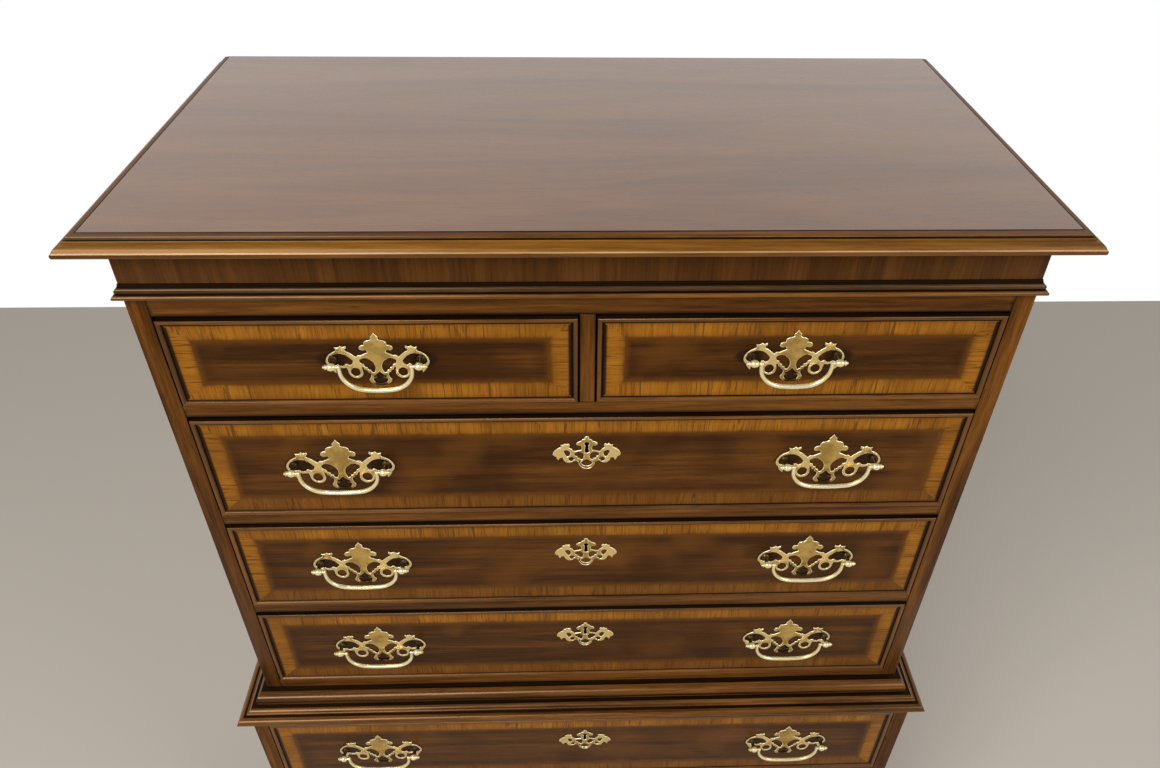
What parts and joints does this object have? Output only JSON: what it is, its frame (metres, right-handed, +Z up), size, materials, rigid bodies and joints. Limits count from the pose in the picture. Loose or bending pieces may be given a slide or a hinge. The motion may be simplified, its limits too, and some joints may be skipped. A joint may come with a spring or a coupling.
{
  "type": "chest on chest",
  "caption": "Mahogany chest on chest with bracket feet, cock-beaded drawers and pierced brass bail pulls.",
  "frame": {"origin": "under the middle of the footprint, on the floor", "axes": "+Z up, the drawers face -Y, +X to the right of someone facing the drawers"},
  "size_m": [0.97, 0.5058, 1.4644],
  "materials": {
    "mahogany": "polished",
    "oak_inner": "matte",
    "brass": "polished"
  },
  "bodies": {
    "case": {"upper_left_side": "mahogany", "upper_right_side": "mahogany", "upper_back_panel": "oak_inner", "top_board": "mahogany", "frieze_board": "mahogany", "neck_moulding": "mahogany", "upper_front_rails": "mahogany", "upper_partition": "mahogany", "upper_runners": "oak_inner", "waist_moulding": "mahogany", "lower_left_side": "mahogany", "lower_right_side": "mahogany", "lower_back_panel": "oak_inner", "lower_deck": "oak_inner", "lower_front_rails": "mahogany", "lower_runners": "oak_inner", "base_moulding": "mahogany", "dust_panels": "oak_inner", "front_left_foot": "mahogany", "front_right_foot": "mahogany", "rear_left_foot": "mahogany", "rear_right_foot": "mahogany"},
    "short_drawer_left": {"short_drawer_left_front": "mahogany", "short_drawer_left_box": "oak_inner", "short_drawer_left_brasses": "brass"},
    "short_drawer_left_bail": {"short_drawer_left_bail": "brass"},
    "short_drawer_right": {"short_drawer_right_front": "mahogany", "short_drawer_right_box": "oak_inner", "short_drawer_right_brasses": "brass"},
    "short_drawer_right_bail": {"short_drawer_right_bail": "brass"},
    "upper_drawer_1": {"upper_drawer_1_front": "mahogany", "upper_drawer_1_box": "oak_inner", "upper_drawer_1_brasses": "brass"},
    "upper_drawer_1_bail_left": {"upper_drawer_1_bail_left": "brass"},
    "upper_drawer_1_bail_right": {"upper_drawer_1_bail_right": "brass"},
    "upper_drawer_2": {"upper_drawer_2_front": "mahogany", "upper_drawer_2_box": "oak_inner", "upper_drawer_2_brasses": "brass"},
    "upper_drawer_2_bail_left": {"upper_drawer_2_bail_left": "brass"},
    "upper_drawer_2_bail_right": {"upper_drawer_2_bail_right": "brass"},
    "upper_drawer_3": {"upper_drawer_3_front": "mahogany", "upper_drawer_3_box": "oak_inner", "upper_drawer_3_brasses": "brass"},
    "upper_drawer_3_bail_left": {"upper_drawer_3_bail_left": "brass"},
    "upper_drawer_3_bail_right": {"upper_drawer_3_bail_right": "brass"},
    "lower_drawer_1": {"lower_drawer_1_front": "mahogany", "lower_drawer_1_box": "oak_inner", "lower_drawer_1_brasses": "brass"},
    "lower_drawer_1_bail_left": {"lower_drawer_1_bail_left": "brass"},
    "lower_drawer_1_bail_right": {"lower_drawer_1_bail_right": "brass"},
    "lower_drawer_2": {"lower_drawer_2_front": "mahogany", "lower_drawer_2_box": "oak_inner", "lower_drawer_2_brasses": "brass"},
    "lower_drawer_2_bail_left": {"lower_drawer_2_bail_left": "brass"},
    "lower_drawer_2_bail_right": {"lower_drawer_2_bail_right": "brass"},
    "lower_drawer_3": {"lower_drawer_3_front": "mahogany", "lower_drawer_3_box": "oak_inner", "lower_drawer_3_brasses": "brass"},
    "lower_drawer_3_bail_left": {"lower_drawer_3_bail_left": "brass"},
    "lower_drawer_3_bail_right": {"lower_drawer_3_bail_right": "brass"}
  },
  "joints": [
    {"name": "short_drawer_left_slide", "type": "slide", "parent": "case", "child": "short_drawer_left", "axis": [0, -1, 0], "range_m": [0, 0.3]},
    {"name": "short_drawer_left_bail_hinge", "type": "hinge", "parent": "short_drawer_left", "child": "short_drawer_left_bail", "pos_m": [-0.2132, -0.2234, 1.31381], "axis": [-1, 0, 0], "range_deg": [-15, 195]},
    {"name": "short_drawer_right_slide", "type": "slide", "parent": "case", "child": "short_drawer_right", "axis": [0, -1, 0], "range_m": [0, 0.3]},
    {"name": "short_drawer_right_bail_hinge", "type": "hinge", "parent": "short_drawer_right", "child": "short_drawer_right_bail", "pos_m": [0.2132, -0.2234, 1.31381], "axis": [-1, 0, 0], "range_deg": [-15, 195]},
    {"name": "upper_drawer_1_slide", "type": "slide", "parent": "case", "child": "upper_drawer_1", "axis": [0, -1, 0], "range_m": [0, 0.3]},
    {"name": "upper_drawer_1_bail_left_hinge", "type": "hinge", "parent": "upper_drawer_1", "child": "upper_drawer_1_bail_left", "pos_m": [-0.2744, -0.2234, 1.168], "axis": [-1, 0, 0], "range_deg": [-15, 195]},
    {"name": "upper_drawer_1_bail_right_hinge", "type": "hinge", "parent": "upper_drawer_1", "child": "upper_drawer_1_bail_right", "pos_m": [0.2744, -0.2234, 1.168], "axis": [-1, 0, 0], "range_deg": [-15, 195]},
    {"name": "upper_drawer_2_slide", "type": "slide", "parent": "case", "child": "upper_drawer_2", "axis": [0, -1, 0], "range_m": [0, 0.3]},
    {"name": "upper_drawer_2_bail_left_hinge", "type": "hinge", "parent": "upper_drawer_2", "child": "upper_drawer_2_bail_left", "pos_m": [-0.2744, -0.2234, 1.003], "axis": [-1, 0, 0], "range_deg": [-15, 195]},
    {"name": "upper_drawer_2_bail_right_hinge", "type": "hinge", "parent": "upper_drawer_2", "child": "upper_drawer_2_bail_right", "pos_m": [0.2744, -0.2234, 1.003], "axis": [-1, 0, 0], "range_deg": [-15, 195]},
    {"name": "upper_drawer_3_slide", "type": "slide", "parent": "case", "child": "upper_drawer_3", "axis": [0, -1, 0], "range_m": [0, 0.3]},
    {"name": "upper_drawer_3_bail_left_hinge", "type": "hinge", "parent": "upper_drawer_3", "child": "upper_drawer_3_bail_left", "pos_m": [-0.2744, -0.2234, 0.838], "axis": [-1, 0, 0], "range_deg": [-15, 195]},
    {"name": "upper_drawer_3_bail_right_hinge", "type": "hinge", "parent": "upper_drawer_3", "child": "upper_drawer_3_bail_right", "pos_m": [0.2744, -0.2234, 0.838], "axis": [-1, 0, 0], "range_deg": [-15, 195]},
    {"name": "lower_drawer_1_slide", "type": "slide", "parent": "case", "child": "lower_drawer_1", "axis": [0, -1, 0], "range_m": [0, 0.32]},
    {"name": "lower_drawer_1_bail_left_hinge", "type": "hinge", "parent": "lower_drawer_1", "child": "lower_drawer_1_bail_left", "pos_m": [-0.3003, -0.2484, 0.6185], "axis": [-1, 0, 0], "range_deg": [-15, 195]},
    {"name": "lower_drawer_1_bail_right_hinge", "type": "hinge", "parent": "lower_drawer_1", "child": "lower_drawer_1_bail_right", "pos_m": [0.3003, -0.2484, 0.6185], "axis": [-1, 0, 0], "range_deg": [-15, 195]},
    {"name": "lower_drawer_2_slide", "type": "slide", "parent": "case", "child": "lower_drawer_2", "axis": [0, -1, 0], "range_m": [0, 0.32]},
    {"name": "lower_drawer_2_bail_left_hinge", "type": "hinge", "parent": "lower_drawer_2", "child": "lower_drawer_2_bail_left", "pos_m": [-0.3003, -0.2484, 0.4425], "axis": [-1, 0, 0], "range_deg": [-15, 195]},
    {"name": "lower_drawer_2_bail_right_hinge", "type": "hinge", "parent": "lower_drawer_2", "child": "lower_drawer_2_bail_right", "pos_m": [0.3003, -0.2484, 0.4425], "axis": [-1, 0, 0], "range_deg": [-15, 195]},
    {"name": "lower_drawer_3_slide", "type": "slide", "parent": "case", "child": "lower_drawer_3", "axis": [0, -1, 0], "range_m": [0, 0.32]},
    {"name": "lower_drawer_3_bail_left_hinge", "type": "hinge", "parent": "lower_drawer_3", "child": "lower_drawer_3_bail_left", "pos_m": [-0.3003, -0.2484, 0.2545], "axis": [-1, 0, 0], "range_deg": [-15, 195]},
    {"name": "lower_drawer_3_bail_right_hinge", "type": "hinge", "parent": "lower_drawer_3", "child": "lower_drawer_3_bail_right", "pos_m": [0.3003, -0.2484, 0.2545], "axis": [-1, 0, 0], "range_deg": [-15, 195]}
  ]
}
